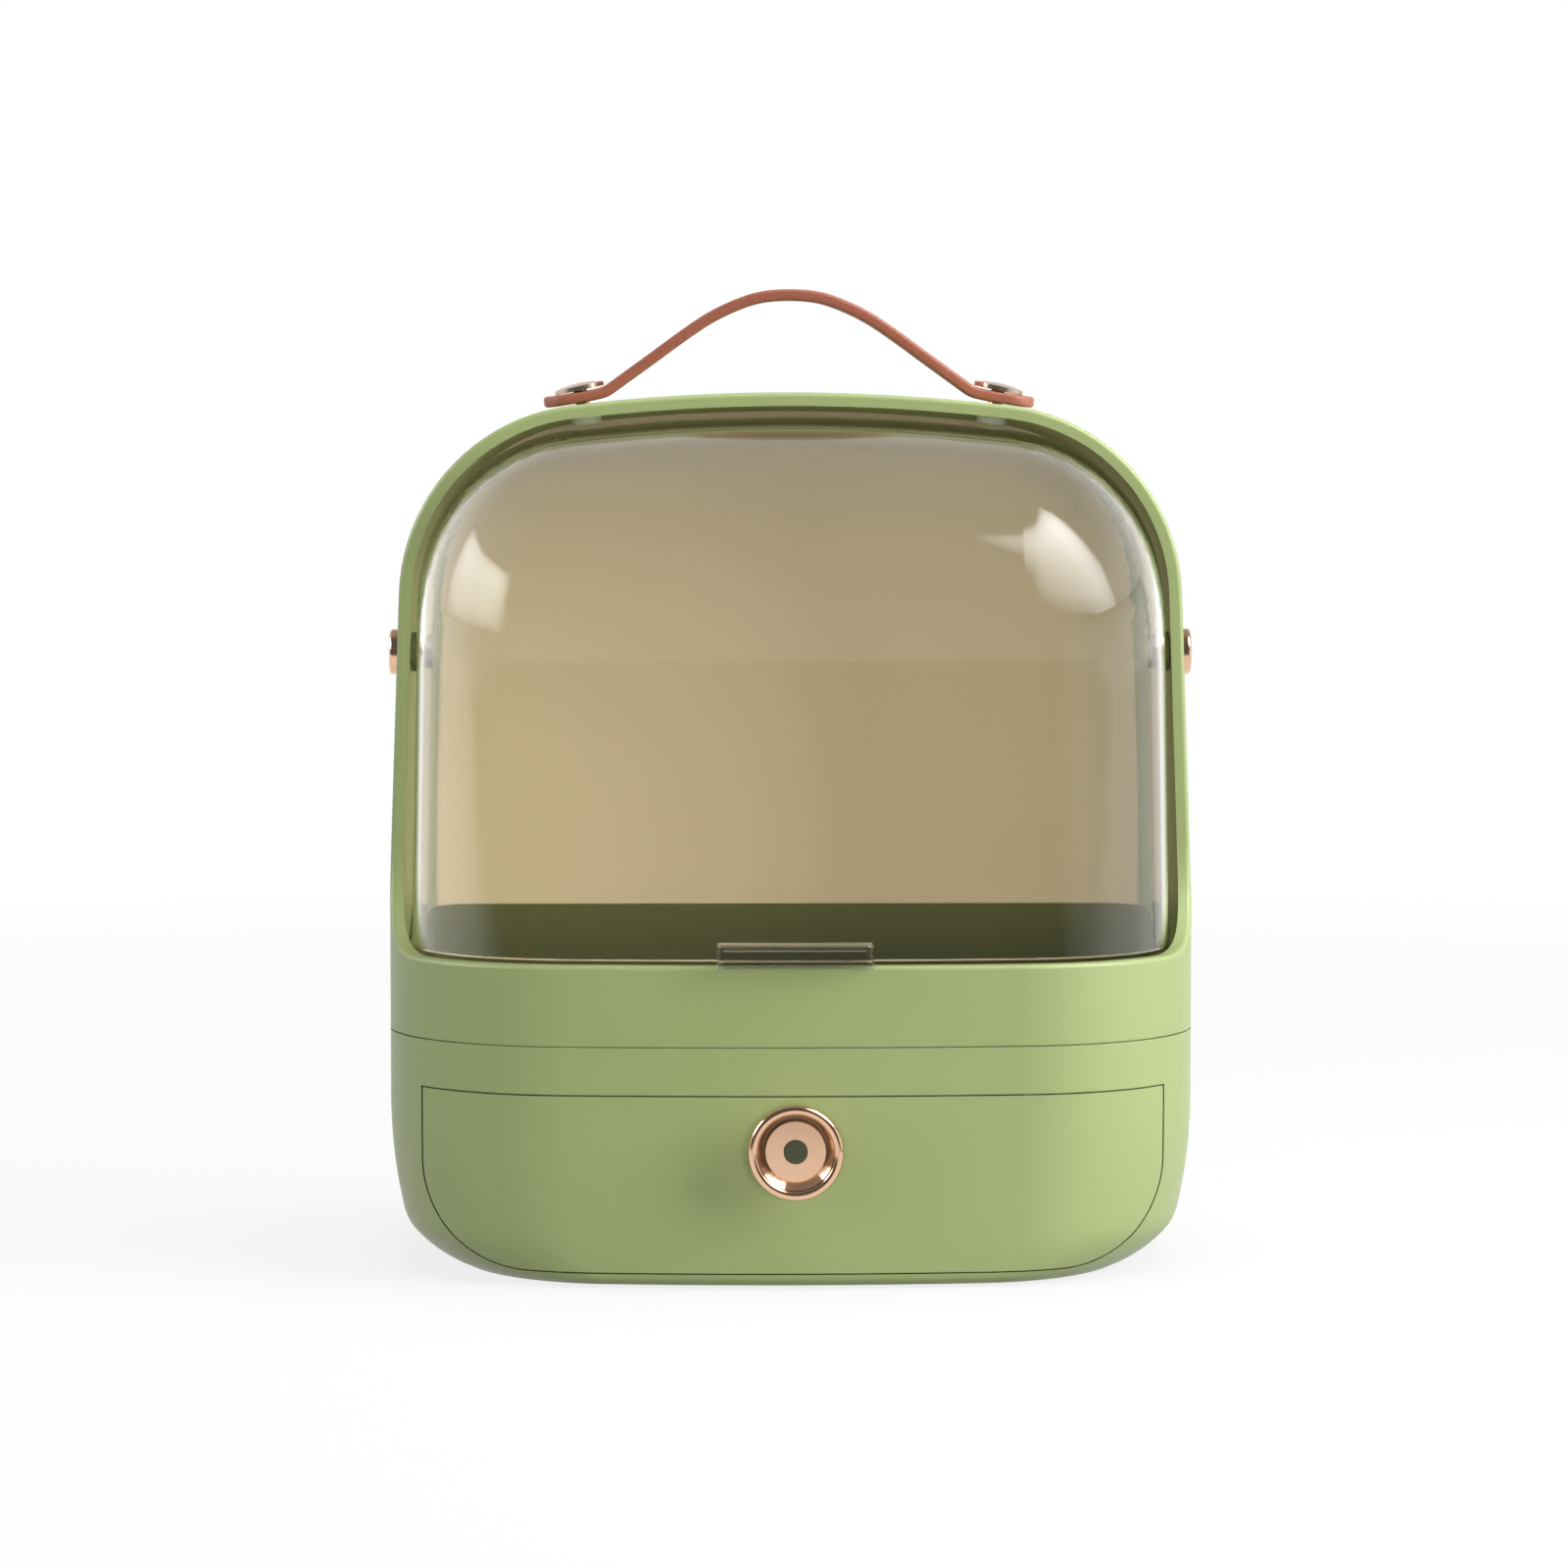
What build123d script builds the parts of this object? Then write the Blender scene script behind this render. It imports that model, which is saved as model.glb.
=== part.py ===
from build123d import *
import math
import os

# Cosmetic case: green moulded body with an arched hoop, a clear lid that turns up inside the hoop
# about two side studs, and one drawer below. Millimetres, +Z up, front faces -Y, and the origin is
# the middle of the whole outline on the floor.

# Overall body
case_width = 286.0
case_depth = 185.0
case_height = 310.0
case_floor_z = 1.2
seam_z = 84.2
rim_z = 112.5

# Plan outline: bowed front, round front corners, smaller rear corners
front_bow_radius = 785.0
front_corner_radius = 70.0
rear_corner_radius = 26.0

# Arch outline seen from the front
arch_bow_radius = 669.0
arch_corner_radius = 69.5
arch_side_slope = 0.0345
arch_side_blend = 600.0
arch_side_start = 27.5
collar_sweep_radius = 36.0
hoop_wall = 4.7
back_wall = 3.2
hoop_edge_round = 1.6

# Thin liner on the back wall, bonded with a film of adhesive
liner_wall = 1.2
liner_film = 0.1
liner_return = 12.0
liner_tray_gap = 0.4

# Rounded underside of the base: sides that draw in gently, then round lower corners
belly_height = 62.0
belly_reach = 10.4
belly_power = 2.23
corner_height = 16.6
corner_reach = 17.2
corner_power = 1.53
heel_size = 4.0
heel_power = 2.2

# Joint between the two mouldings
seam_gap = 0.5
seam_setback = 1.6
flange_width = 16.0
flange_thickness = 3.0
base_wall = 3.0

# Inner tray
tray_clearance = 0.4
tray_wall = 1.8
tray_floor = 2.0
tray_lift = 4.4
tray_rim_drop = 1.5
tray_back_rise = 7.5
tray_step_y = 24.0
tray_step_run = 24.0
tray_step_round = 14.0
tray_boss_radius = 4.5

# Screws that clamp the shells
shell_screw_inset = 10.5
shell_screw_x = 60.0
shell_screw_side_y = 20.0
shell_screw_radius = 1.5
shell_screw_head_radius = 3.0
shell_screw_head = 2.0
shell_screw_bite = 5.2
screw_clearance = 0.2
thread_clearance = 0.05
screw_tip_room = 0.4

# Feet
foot_radius = 7.0
foot_height = 2.2
foot_inset_x = 81.0
foot_inset_y = 32.5

# Lid and its hinge studs
pivot_drop = 92.5
lid_gap = 4.1
lid_side_gap = 2.0
lid_flare = 0.02
lid_wall = 2.4
lid_face_setback = 1.6
lid_rim_gap = 1.4
lid_rear_reach = 12.0
lid_edge_round = 0.7
stud_radius = 3.5
stud_hole_clearance = 0.1
lid_hole_clearance = 0.06
lid_side_clearance = 0.3
stud_bore_radius = 2.0
stud_screw_bite = 6.8
cap_radius = 8.2
cap_reach = 3.0
cap_shoulder = 1.3
cap_dish_radius = 4.8
cap_dish_depth = 0.9
cap_seat_depth = 0.5
washer_radius = 7.0
washer_seat_clearance = 0.3
pivot_head_radius = 6.0
pivot_head = 1.8

# Pull bar on the lid
pull_width = 54.0
pull_reach = 8.6
pull_drop = 0.6
pull_height = 8.6
pull_wall = 2.4
pull_end_round = 2.4
pull_nose_round = 1.0
pull_collar_gap = 0.6

# Carrying strap: right half of its middle line as distance from the middle and height over the arch
strap_width = 20.0
strap_thickness = 4.2
strap_end_thickness = 4.0
strap_line = [(0, 35.0), (10, 34.25), (19, 31.65), (29, 27.15), (39, 20.95), (49, 14.3), (59, 7.9)]
strap_line += [(63, 5.35), (66.6, 3.45), (72, 2.65), (78, 2.3), (84.1, 2.3), (88.5, 2.9)]
strap_end_round = 8.0
strap_y = 18.0
rivet_x = 74.5
rivet_tilt = 6.1
rivet_lift = 2.9
rivet_cap_radius = 9.0
rivet_cap_rise = 2.7
rivet_cap_edge = 1.5
rivet_shank_radius = 2.5
rivet_clearance = 0.15
burr_radius = 5.5
burr_thickness = 2.4
burr_hole_clearance = 0.35

# Drawer
drawer_top_z = 67.0
drawer_bottom_z = 5.6
drawer_margin = 13.0
drawer_corner_radius = 36.0
drawer_gap = 0.5
panel_thickness = 3.2
panel_joint = 0.15
panel_reach = 52.0
box_inset = 1.6
box_wall = 2.0
box_drop = 7.0
box_rear_gap = 6.5
drawer_travel = 110.0
bay_clearance = 2.2
frame_wall = 2.0
frame_depth = 52.0
frame_skin_gap = 0.8
runner_clearance = 0.3
runner_x = 50.0
runner_width = 3.0
runner_stop_height = 8.0
guide_thickness = 2.4
guide_levels = [29.0, 49.0]
guide_root = 6.0
stop_thickness = 4.0
nib_reach = 3.6
nib_setback = 9.0
nib_depth = 4.0
nib_height = 8.0
nib_z = 40.2

# Screws that hold the drawer's front panel
panel_screw_x = 62.0
panel_screw_levels = [40.0, 54.0]
panel_screw_radius = 1.25
panel_screw_head_radius = 2.6
panel_screw_head = 1.6
panel_screw_bite = 1.9
panel_screw_seat_clearance = 0.1

# Knob
knob_z = 49.3
knob_radius = 16.5
knob_reach = 14.5
knob_rim_radius = 1.7
knob_stem_radius = 7.0
knob_stem_length = 5.0
knob_dish_depth = 4.4
knob_dish_radius = 10.4
knob_plug_radius = 4.15
knob_plug_depth = 1.2
knob_plug_rise = 0.5
knob_plug_clearance = 0.1
knob_seat_clearance = 0.05
knob_screw_radius = 2.0
knob_screw_head_radius = 4.0
knob_screw_head = 2.6
knob_screw_bite = 6.0
knob_washer_radius = 6.0
knob_washer_thickness = 1.0

# Places worked out from the sizes above
half_width = case_width / 2
half_depth = case_depth / 2
case_y = knob_reach / 2
front_y = case_y - half_depth
back_y = case_y + half_depth
front_lean = math.asin((half_width - front_corner_radius) / (front_bow_radius - front_corner_radius))
front_corner_y = front_y + front_bow_radius - (front_bow_radius - front_corner_radius) * math.cos(front_lean)
arch_edge_y = front_corner_y
draft_z = rim_z + arch_side_start
ledge_z = seam_z + seam_gap / 2
ledge_top_z = ledge_z + flange_thickness
base_top_z = seam_z - seam_gap / 2
base_flange_z = ledge_z - flange_thickness
tray_floor_z = ledge_top_z + tray_lift
tray_rim_z = rim_z - tray_rim_drop
pivot_z = case_height - pivot_drop
lid_inset = hoop_wall + lid_gap
lid_side_gain = lid_gap - lid_side_gap
lid_radius = case_height - lid_inset - pivot_z
lid_face_y = front_y + lid_face_setback
pivot_y = lid_face_y + lid_radius
lid_bottom_z = rim_z + lid_rim_gap
pull_bottom_z = rim_z - pull_drop
pull_top_z = pull_bottom_z + pull_height
hoop_pivot_x = half_width - arch_side_slope * (pivot_z - draft_z)
cap_seat_x = hoop_pivot_x - cap_seat_depth
lid_pivot_x = hoop_pivot_x - hoop_wall - lid_side_gap
stud_end_x = lid_pivot_x - lid_wall - lid_side_clearance
box_bottom_z = drawer_bottom_z + box_inset
box_top_z = drawer_top_z - box_drop
box_rear_y = back_y - base_wall - box_rear_gap
drawer_half = half_width - drawer_margin
box_half_width = drawer_half - box_inset
box_front_inset = panel_thickness + panel_joint
box_face_inset = box_front_inset + box_wall
runner_top_z = box_bottom_z - runner_clearance
guide_x = box_half_width + runner_clearance
nib_front_y = box_rear_y - nib_setback - nib_depth
stop_front_y = nib_front_y - drawer_travel - runner_clearance
far = 2 * case_width


def arc_points(centre_x, centre_y, radius, start, end):
    """Control points of one cubic curve that follows an arc, angles in radians."""
    handle = 4 / 3 * math.tan((end - start) / 4) * radius
    first = (centre_x + radius * math.cos(start), centre_y + radius * math.sin(start))
    last = (centre_x + radius * math.cos(end), centre_y + radius * math.sin(end))
    near_first = (first[0] - handle * math.sin(start), first[1] + handle * math.cos(start))
    near_last = (last[0] + handle * math.sin(end), last[1] - handle * math.cos(end))
    return [first, near_first, near_last, last]


def plan_face(inset, z, x_scale=1.0, y_scale=1.0):
    """Plan outline of the body, inset evenly, then scaled about the body's middle, at height z."""
    half = half_width - inset
    front = half_depth - inset
    bow = front_bow_radius - inset
    corner = front_corner_radius - inset
    rear = rear_corner_radius - inset
    corner_x = half - corner
    corner_y = bow - front - (bow - corner) * math.cos(front_lean)
    rear_x = half - rear
    rear_y = front - rear
    quarter = math.pi / 2
    arcs = [
        arc_points(0, bow - front, bow, 3 * quarter - front_lean, 3 * quarter + front_lean),
        arc_points(corner_x, corner_y, corner, 3 * quarter + front_lean, 4 * quarter),
        arc_points(rear_x, rear_y, rear, 0, quarter),
        arc_points(-rear_x, rear_y, rear, quarter, 2 * quarter),
        arc_points(-corner_x, corner_y, corner, 2 * quarter, 3 * quarter - front_lean),
    ]

    def place(point):
        return (point[0] * x_scale, case_y + point[1] * y_scale, z)

    edges = []
    for index, arc in enumerate(arcs):
        edges.append(Bezier(*[place(point) for point in arc]))
        after = arcs[(index + 1) % len(arcs)]
        if math.dist(arc[-1], after[0]) > 1e-6:
            edges.append(Line(place(arc[-1]), place(after[0])))
    return Face(Wire(edges))


def round_share(distance, size, power):
    """Share of its full reach that a rounded edge keeps at a distance below its start."""
    t = min(max(distance / size, 0.0), 1.0)
    return (1 - t**power) ** (1 / power)


def base_form(inset, lift, top_z):
    """Solid of the base with its rounded underside, inset sideways, lifted, and cut level at top_z."""
    shares = [0.0, 0.008, 0.02, 0.04, 0.07, 0.11, 0.16, 0.22, 0.29, 0.37, 0.46]
    shares += [0.55, 0.64, 0.73, 0.82, 0.91, 1.0]
    flat_rise = 0.3
    sections = []
    for share in shares:
        level = share * belly_height
        probe = max(level, flat_rise)
        corner = corner_reach * (1 - round_share(corner_height - probe, corner_height, corner_power))
        across = corner + belly_reach * (1 - probe / belly_height) ** belly_power
        along = heel_size * (1 - round_share(heel_size - probe, heel_size, heel_power))
        x_scale = 1 - across / (half_width - inset)
        y_scale = 1 - along / (half_depth - inset)
        sections.append(plan_face(inset, case_floor_z + lift + level, x_scale, y_scale))
    wall_z = case_floor_z + lift + belly_height
    return loft(sections) + plan_prism(inset, wall_z, top_z)


def plan_prism(inset, low_z, high_z):
    """Straight block with the plan outline."""
    return extrude(plan_face(inset, low_z), amount=high_z - low_z)


def front_prism(sketch, low_y, high_y):
    """Sketch drawn as seen from the front, carried through the depth."""
    face = Pos(0, low_y, 0) * (Plane.XZ * sketch)
    return extrude(face, amount=high_y - low_y, dir=(0, 1, 0))


def side_prism(sketch, low_x, high_x):
    """Sketch drawn as seen from the right, carried through the width."""
    face = Pos(low_x, 0, 0) * (Plane.YZ * sketch)
    return extrude(face, amount=high_x - low_x, dir=(1, 0, 0))


def block(x0, x1, y0, y1, z0, z1):
    """Box between two corners."""
    middle = Pos((x0 + x1) / 2, (y0 + y1) / 2, (z0 + z1) / 2)
    return middle * Box(abs(x1 - x0), abs(y1 - y0), abs(z1 - z0))


def disc_z(x, y, z0, z1, radius):
    """Upright cylinder between two heights."""
    return Pos(x, y, (z0 + z1) / 2) * Cylinder(radius, abs(z1 - z0))


def disc_x(x0, x1, radius):
    """Cylinder along the hinge axis between two places."""
    return Pos((x0 + x1) / 2, pivot_y, pivot_z) * Rot(0, 90, 0) * Cylinder(radius, abs(x1 - x0))


def disc_y(x, z, y0, y1, radius):
    """Cylinder along the depth between two places."""
    return Pos(x, (y0 + y1) / 2, z) * Rot(90, 0, 0) * Cylinder(radius, abs(y1 - y0))


def arch_height(x):
    """Height of the arch's top at a distance from the middle, on its bow or its round corner."""
    spring_x = half_width - arch_side_slope * (case_height - arch_corner_radius - draft_z)
    corner_x = spring_x - arch_corner_radius
    bow_z = case_height - arch_bow_radius
    reach = arch_bow_radius - arch_corner_radius
    if x * reach <= corner_x * arch_bow_radius:
        return bow_z + math.sqrt(arch_bow_radius**2 - x**2)
    corner_z = bow_z + math.sqrt(reach**2 - corner_x**2)
    return corner_z + math.sqrt(arch_corner_radius**2 - (x - corner_x) ** 2)


def arch_sketch(inset, foot_z, side_gain=0.0):
    """Front outline of the hoop down to foot_z: upright then leaning sides, round corners, bowed top."""
    half = half_width - inset + side_gain
    bow = arch_bow_radius - inset
    bow_z = case_height - arch_bow_radius
    side_x = half
    for _ in range(4):
        side_z = bow_z + math.sqrt(bow**2 - side_x**2)
        side_x = half - arch_side_slope * (side_z - draft_z)
    side_z = bow_z + math.sqrt(bow**2 - side_x**2)
    foot_x = half - arch_side_slope * max(foot_z - draft_z, 0)
    right = [(side_x, side_z), (foot_x, foot_z)]
    if foot_z < draft_z:
        right.insert(1, (half, draft_z))
    left = [(-x, z) for x, z in reversed(right)]
    with BuildSketch() as outline:
        with BuildLine():
            Polyline(*right, *left)
            ThreePointArc((-side_x, side_z), (0, bow_z + bow), (side_x, side_z))
        make_face()
        shoulders = [v for v in outline.vertices() if abs(v.Y - side_z) < 0.01]
        fillet(shoulders, arch_corner_radius - inset)
        kinks = [v for v in outline.vertices() if abs(v.Y - draft_z) < 0.01]
        if kinks:
            fillet(kinks, arch_side_blend)
    return outline.sketch


def arch_block(inset, foot_z, low_y, high_y, rear_radius):
    """Hoop outline carried through the depth, with its rear edge rounded."""
    solid = front_prism(arch_sketch(inset, foot_z), low_y, high_y)
    rear_face = solid.faces().sort_by(Axis.Y)[-1]
    rear_edges = [edge for edge in rear_face.edges() if edge.center().Z > foot_z + 1]
    return fillet(rear_edges, rear_radius)


def hoop_silhouette():
    """Side outline behind the hoop's front edge, swept forward into the collar's level rim."""
    corners = [(arch_edge_y, far), (far, far), (far, 0), (-far, 0), (-far, rim_z), (arch_edge_y, rim_z)]
    with BuildSketch() as outline:
        with BuildLine():
            Polyline(*corners, close=True)
        make_face()
        sweep_corner = [v for v in outline.vertices() if math.dist((v.X, v.Y), (arch_edge_y, rim_z)) < 0.01]
        fillet(sweep_corner, collar_sweep_radius)
    return outline.sketch


def is_hoop_edge(edge):
    """True for the body's visible edge: round the hoop, down its sweep and along the collar's rim."""
    if edge.geom_type == GeomType.LINE and abs((edge @ 0).X - (edge @ 1).X) > half_width:
        return False
    p = edge.center()
    sweep_y = arch_edge_y - collar_sweep_radius
    sweep_z = rim_z + collar_sweep_radius
    on_hoop = abs(p.Y - arch_edge_y) < 0.01 and p.Z > rim_z
    on_rim = abs(p.Z - rim_z) < 0.01 and p.Y < arch_edge_y
    on_sweep = p.Z < sweep_z and sweep_y < p.Y < arch_edge_y and p.Z > rim_z
    return on_hoop or on_rim or on_sweep


def shell_screw_places():
    """Screw positions round the joint of the two mouldings."""
    front = front_y + shell_screw_inset + seam_setback
    rear = back_y - shell_screw_inset
    side = half_width - shell_screw_inset
    places = []
    for sign in (-1, 1):
        places.append((sign * shell_screw_x, front))
        places.append((sign * side, case_y + shell_screw_side_y))
        places.append((sign * shell_screw_x, rear))
    return places


def flange_ring(low_z, high_z):
    """Inward flange at the joint of the two mouldings, drilled for the screws."""
    ring = plan_prism(seam_setback, low_z, high_z) - plan_prism(flange_width, low_z - 1, high_z + 1)
    for x, y in shell_screw_places():
        ring -= disc_z(x, y, low_z - 1, high_z + 1, shell_screw_radius + screw_clearance)
    return ring


def arch_lean():
    """Angle in degrees at which the arch's top falls away where a strap rivet stands."""
    step = 0.01
    fall = arch_height(rivet_x - step) - arch_height(rivet_x + step)
    return math.degrees(math.atan(fall / (2 * step)))


def rivet_frame(sign, tilt=rivet_tilt):
    """Place on the arch's top where a strap rivet stands, tilted outward from square to it."""
    lean = arch_lean() + tilt
    return Pos(sign * rivet_x, case_y + strap_y, arch_height(rivet_x)) * Rot(0, sign * lean, 0)


def hoop_hollow(inset):
    """Hollow inside the hoop and the back wall, drawn in evenly by inset."""
    rear_y = back_y - back_wall - inset
    form = arch_block(hoop_wall + inset, 0, front_y, rear_y, rear_corner_radius - hoop_wall - inset)
    return form & plan_prism(hoop_wall + inset, 0, case_height)


def make_upper_shell():
    """Hoop, back wall and collar in one moulding."""
    outer = arch_block(0, ledge_z, front_y, back_y, rear_corner_radius)
    outer = outer & plan_prism(0, ledge_z, case_height)
    outer = outer & side_prism(hoop_silhouette(), -far, far)
    outer = fillet([edge for edge in outer.edges() if is_hoop_edge(edge)], hoop_edge_round)
    shell = outer - hoop_hollow(0)
    shell += flange_ring(ledge_z, ledge_top_z)
    for sign in (-1, 1):
        through = stud_radius + stud_hole_clearance
        shell -= disc_x(sign * (hoop_pivot_x - 2 * hoop_wall), sign * half_width, through)
        shell -= disc_x(sign * cap_seat_x, sign * (half_width + 1), cap_radius + screw_clearance)
        shell -= rivet_frame(sign) * Cylinder(rivet_shank_radius + rivet_clearance, 4 * hoop_wall)
    return shell


def make_back_liner():
    """Thin liner that covers the back wall and its round corners above the tray."""
    low_y = back_y - back_wall - liner_return
    low_z = tray_rim_z + tray_back_rise + liner_tray_gap
    liner = hoop_hollow(liner_film) - hoop_hollow(liner_film + liner_wall)
    return liner & block(-far, far, low_y, far, low_z, far)


def make_compartment_tray():
    """Floor of the main compartment, with a low wall that steps up towards the back."""
    inset = hoop_wall + tray_clearance
    tray = plan_prism(inset, tray_floor_z, tray_rim_z + tray_back_rise)
    tray -= plan_prism(inset + tray_wall, tray_floor_z + tray_floor, far)
    step_y = case_y + tray_step_y
    step_top = tray_rim_z + tray_back_rise
    step_end = step_y + tray_step_run
    corners = [(-far, far), (far, far), (far, step_top), (step_end, step_top), (step_y, tray_rim_z)]
    with BuildSketch() as above:
        with BuildLine():
            Polyline(*corners, (-far, tray_rim_z), close=True)
        make_face()
        bends = [v for v in above.vertices() if step_y - 1 < v.X < step_end + 1]
        fillet(bends, tray_step_round)
    tray -= side_prism(above.sketch, -far, far)
    for x, y in shell_screw_places():
        tray += disc_z(x, y, ledge_top_z, tray_floor_z + tray_floor, tray_boss_radius)
        hole_top = ledge_top_z + shell_screw_bite + screw_tip_room
        tray -= disc_z(x, y, ledge_top_z - 1, hole_top, shell_screw_radius + thread_clearance)
    return tray


def drawer_sketch(inset, top_z):
    """Front outline of the drawer with its round lower corners, inset evenly, cut level at top_z."""
    half = drawer_half - inset
    low = drawer_bottom_z + inset
    with BuildSketch() as outline:
        with BuildLine():
            Polyline((-half, top_z), (half, top_z), (half, low), (-half, low), close=True)
        make_face()
        lower = [v for v in outline.vertices() if v.Y < low + 1]
        fillet(lower, drawer_corner_radius - inset)
    return outline.sketch


def make_base_shell():
    """Lower moulding with the drawer bay, its front frame, guides, runners and stops."""
    shell = base_form(0, 0, base_top_z) - base_form(base_wall, base_wall, far)
    frame_back = front_y + frame_depth
    inner_top = drawer_top_z + drawer_gap
    outer_top = inner_top + frame_wall
    frame = front_prism(drawer_sketch(-drawer_gap - frame_wall, outer_top), front_y, frame_back)
    shell += frame & base_form(frame_skin_gap, 0, base_top_z)
    shell += side_guides()
    shell += floor_runners()
    shell -= front_prism(drawer_sketch(-drawer_gap, inner_top), front_y - 1, frame_back + 1)
    shell += flange_ring(base_flange_z, ledge_z)
    for x, y in foot_places():
        shell -= disc_z(x, y, 0, foot_height, foot_radius + screw_clearance)
    return shell


def side_guides():
    """Two guide ribs on each side of the drawer bay and the stop between them."""
    start = front_y + frame_depth - frame_wall
    ribs = Part()
    for sign in (-1, 1):
        root = sign * (half_width - base_wall + guide_root)
        for level in guide_levels:
            rib = block(sign * guide_x, root, start, box_rear_y, level, level + guide_thickness)
            ribs += rib
        low = guide_levels[0]
        high = guide_levels[1] + guide_thickness
        ribs += block(sign * guide_x, root, stop_front_y - stop_thickness, stop_front_y, low, high)
    return ribs & base_form(frame_skin_gap, frame_skin_gap, base_top_z)


def floor_runners():
    """Two ribs under the drawer with a raised stop at the back."""
    ribs = Part()
    floor_top = case_floor_z + base_wall
    rest_y = box_rear_y + runner_clearance
    for sign in (-1, 1):
        x0 = sign * runner_x - runner_width / 2
        x1 = sign * runner_x + runner_width / 2
        ribs += block(x0, x1, front_y + frame_depth, rest_y, floor_top - 1, runner_top_z)
        ribs += block(x0, x1, rest_y, rest_y + runner_width, floor_top - 1, floor_top + runner_stop_height)
    return ribs


def foot_places():
    """Middle of each foot, front left first."""
    x = half_width - foot_inset_x
    y = half_depth - foot_inset_y
    return [(sx * x, case_y + sy * y) for sy in (-1, 1) for sx in (-1, 1)]


def make_foot(x, y):
    """Soft pad set into the case's underside."""
    pad = disc_z(x, y, 0, foot_height, foot_radius)
    return fillet(pad.edges().sort_by(Axis.Z)[0], foot_height / 4)


def make_shell_screws():
    """Screws from inside the drawer bay through both flanges into the tray's bosses."""
    screws = Part()
    for x, y in shell_screw_places():
        head = disc_z(x, y, base_flange_z - shell_screw_head, base_flange_z, shell_screw_head_radius)
        shank = disc_z(x, y, base_flange_z, ledge_top_z + shell_screw_bite, shell_screw_radius)
        screws += head + shank
    return screws


def lid_form(inset, bottom_z, rear_reach):
    """Solid under the lid's skin: a turned crown, straight sides below it and a straight rear end."""
    hinge = Axis((0, pivot_y, pivot_z), (1, 0, 0))
    upright = Pos(0, pivot_y, 0) * (Plane.XZ * arch_sketch(inset, pivot_z, lid_side_gain))
    form = revolve(upright, axis=hinge, revolution_arc=90)
    half = hoop_pivot_x - inset + lid_side_gain
    foot_half = half + lid_flare * (pivot_z - bottom_z)
    level = upright.rotate(hinge, 90).face()
    foot = scale(level, by=(foot_half / half, 1, 1)).moved(Pos(0, 0, bottom_z - pivot_z))
    form += loft([level, foot], ruled=True)
    form += extrude(upright, amount=rear_reach, dir=(0, 1, 0))
    sides = [(-half, pivot_z), (half, pivot_z), (foot_half, bottom_z), (-foot_half, bottom_z)]
    with BuildSketch() as rear:
        with BuildLine():
            Polyline(*sides, close=True)
        make_face()
    return form + front_prism(rear.sketch, pivot_y, pivot_y + rear_reach)


def make_lid_shell():
    """Clear lid with hinge holes in its sides."""
    outer = lid_form(lid_inset, lid_bottom_z, lid_rear_reach)
    lower_edges = [e for e in outer.edges() if abs(e.center().Z - lid_bottom_z) < 0.01]
    front_edges = [e for e in lower_edges if e.center().Y < pivot_y]
    outer = fillet(front_edges, lid_edge_round)
    shell = outer - lid_form(lid_inset + lid_wall, lid_bottom_z - 1, lid_rear_reach + 1)
    for sign in (-1, 1):
        hole = stud_radius + lid_hole_clearance
        shell -= disc_x(sign * (lid_pivot_x - 2 * lid_wall), sign * (lid_pivot_x + lid_wall), hole)
    return shell


def make_lid_pull():
    """Clear bar bonded to the lid's face, hollow below for the fingers, clear of the collar."""
    nose_y = lid_face_y - pull_reach
    heel_y = front_y - pull_collar_gap
    root_y = lid_face_y + lid_wall
    corners = [(root_y, pull_top_z), (nose_y, pull_top_z), (nose_y, pull_bottom_z), (heel_y, pull_bottom_z)]
    with BuildSketch() as profile:
        with BuildLine():
            Polyline(*corners, (heel_y, lid_bottom_z), (root_y, lid_bottom_z), close=True)
        make_face()
    half = pull_width / 2
    bar = side_prism(profile.sketch, -half, half)
    nose = [e for e in bar.edges().filter_by(Axis.Z) if abs(e.center().Y - nose_y) < 0.01]
    bar = fillet(nose, pull_end_round)
    brow = [e for e in bar.edges() if abs(e.center().Z - pull_top_z) < 0.01 and e.center().Y < lid_face_y - 1]
    bar = fillet([e for e in brow if e.center().Y < nose_y + pull_end_round + 3], pull_nose_round)
    inner = half - pull_wall
    bar -= block(-inner, inner, nose_y + pull_wall, lid_face_y - pull_wall, 0, pull_top_z - pull_wall)
    return bar - lid_form(lid_inset, 0, lid_rear_reach)


def make_pivot_cap(sign):
    """Hinge stud: dished outer cap with a hollow shank through hoop, washer and lid."""
    top = cap_seat_x + cap_seat_depth + cap_reach
    shoulder = (top - cap_shoulder, cap_radius)
    crest = (top, cap_radius - cap_shoulder)
    bend = cap_shoulder * (1 - math.sqrt(0.5))
    dish = [(top, cap_dish_radius), (top - cap_dish_depth, cap_dish_radius - cap_dish_depth)]
    floor = (top - cap_dish_depth, 0)
    shank = [(stud_end_x, 0), (stud_end_x, stud_radius), (cap_seat_x, stud_radius)]
    with BuildSketch() as half_profile:
        with BuildLine():
            Polyline(floor, *shank, (cap_seat_x, cap_radius), shoulder)
            ThreePointArc(shoulder, (top - bend, cap_radius - bend), crest)
            Polyline(crest, *dish, floor)
        make_face()
    stud = revolve(Plane.XY * half_profile.sketch, axis=Axis.X)
    stud = Pos(0, pivot_y, pivot_z) * stud
    stud -= disc_x(stud_end_x - 1, cap_seat_x - 1, stud_bore_radius)
    return stud if sign > 0 else mirror(stud, about=Plane.YZ)


def make_pivot_screw(sign):
    """Screw that closes a hinge stud from inside the lid."""
    head = disc_x(sign * (stud_end_x - pivot_head), sign * stud_end_x, pivot_head_radius)
    shank_end = sign * (stud_end_x + stud_screw_bite)
    return head + disc_x(sign * stud_end_x, shank_end, stud_bore_radius - thread_clearance)


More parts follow.
